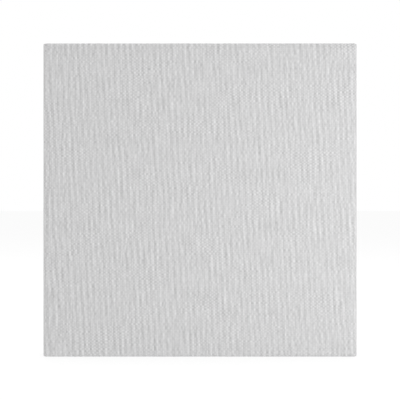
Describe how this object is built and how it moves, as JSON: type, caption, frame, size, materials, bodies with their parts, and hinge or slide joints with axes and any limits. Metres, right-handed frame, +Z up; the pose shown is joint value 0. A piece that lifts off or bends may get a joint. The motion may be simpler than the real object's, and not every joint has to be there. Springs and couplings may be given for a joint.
{
  "type": "stretched canvas",
  "caption": "Small square stretched canvas: primed cotton cloth stapled over keyed, mitred wooden stretcher bars with corner wedges.",
  "frame": {"origin": "under the middle of the canvas, on the surface that its bottom edge stands on, halfway through its whole depth", "axes": "+Z up, +X to the right as the painting face is seen, and the painting face looks along -Y"},
  "size_m": [0.1518, 0.0202, 0.15],
  "materials": {
    "cloth": "matt acrylic primer over a plain weave",
    "pine": "planed, unfinished",
    "beech": "sawn, unfinished",
    "steel": "galvanised wire"
  },
  "bodies": {
    "frame_and_cloth": {"canvas": "cloth", "bar_bottom": "pine", "bar_left": "pine", "bar_top": "pine", "bar_right": "pine", "staples_bottom": "steel", "staples_left": "steel", "staples_top": "steel", "staples_right": "steel", "staple_fold_bottom_left": "steel", "staple_fold_bottom_right": "steel", "staple_fold_top_left": "steel", "staple_fold_top_right": "steel"},
    "key_bottom_left": {"key_bottom_left": "beech"},
    "key_bottom_right": {"key_bottom_right": "beech"},
    "key_left_top": {"key_left_top": "beech"},
    "key_left_bottom": {"key_left_bottom": "beech"},
    "key_top_right": {"key_top_right": "beech"},
    "key_top_left": {"key_top_left": "beech"},
    "key_right_bottom": {"key_right_bottom": "beech"},
    "key_right_top": {"key_right_top": "beech"}
  },
  "joints": [
    {"name": "key_bottom_left_slide", "type": "slide", "parent": "frame_and_cloth", "child": "key_bottom_left", "axis": [0, 0, 1], "range_m": [0, 0.024]},
    {"name": "key_bottom_right_slide", "type": "slide", "parent": "frame_and_cloth", "child": "key_bottom_right", "axis": [0, 0, 1], "range_m": [0, 0.024]},
    {"name": "key_left_top_slide", "type": "slide", "parent": "frame_and_cloth", "child": "key_left_top", "axis": [1, 0, 0], "range_m": [0, 0.024]},
    {"name": "key_left_bottom_slide", "type": "slide", "parent": "frame_and_cloth", "child": "key_left_bottom", "axis": [1, 0, 0], "range_m": [0, 0.024]},
    {"name": "key_top_right_slide", "type": "slide", "parent": "frame_and_cloth", "child": "key_top_right", "axis": [0, 0, -1], "range_m": [0, 0.024]},
    {"name": "key_top_left_slide", "type": "slide", "parent": "frame_and_cloth", "child": "key_top_left", "axis": [0, 0, -1], "range_m": [0, 0.024]},
    {"name": "key_right_bottom_slide", "type": "slide", "parent": "frame_and_cloth", "child": "key_right_bottom", "axis": [-1, 0, 0], "range_m": [0, 0.024]},
    {"name": "key_right_top_slide", "type": "slide", "parent": "frame_and_cloth", "child": "key_right_top", "axis": [-1, 0, 0], "range_m": [0, 0.024]}
  ]
}
